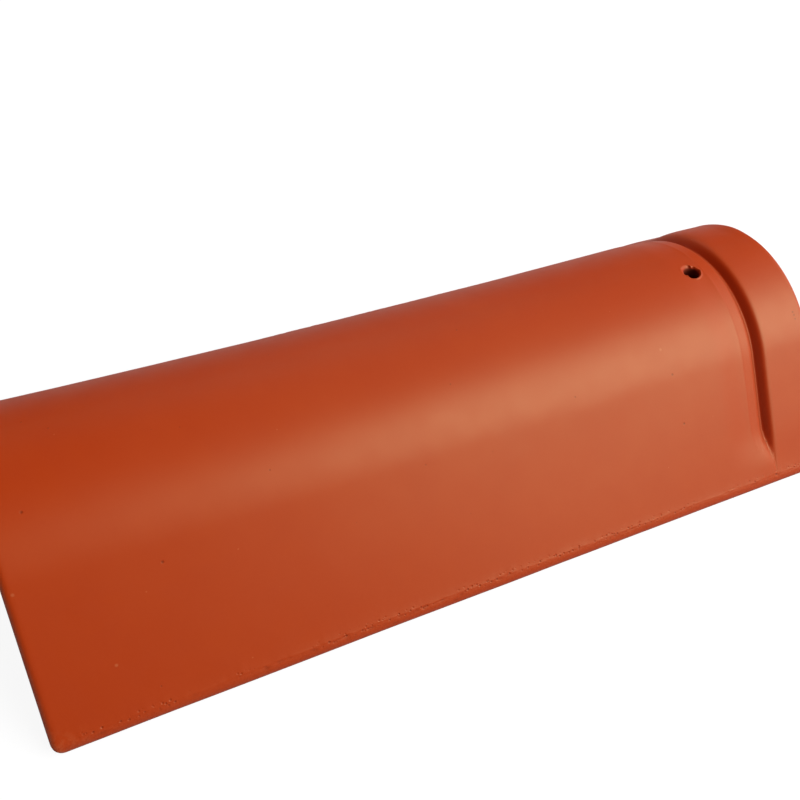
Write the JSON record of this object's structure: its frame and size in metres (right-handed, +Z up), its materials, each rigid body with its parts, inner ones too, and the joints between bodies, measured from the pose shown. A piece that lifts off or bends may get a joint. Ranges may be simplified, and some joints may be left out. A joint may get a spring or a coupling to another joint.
{
  "type": "clay ridge tile",
  "caption": "Fired clay ridge tile: a rounded arch on two long flat feet, with a groove across the crown near its head end and a nail hole.",
  "frame": {"origin": "on the floor under the middle of the tile", "axes": "+X along the ridge towards the head end, +Y across the tile, +Z up out of the nail hole"},
  "size_m": [0.4, 0.1852, 0.081],
  "materials": {
    "fired_clay": "bare matt terracotta"
  },
  "bodies": {
    "root": {"ridge_tile": "fired_clay"}
  },
  "joints": []
}
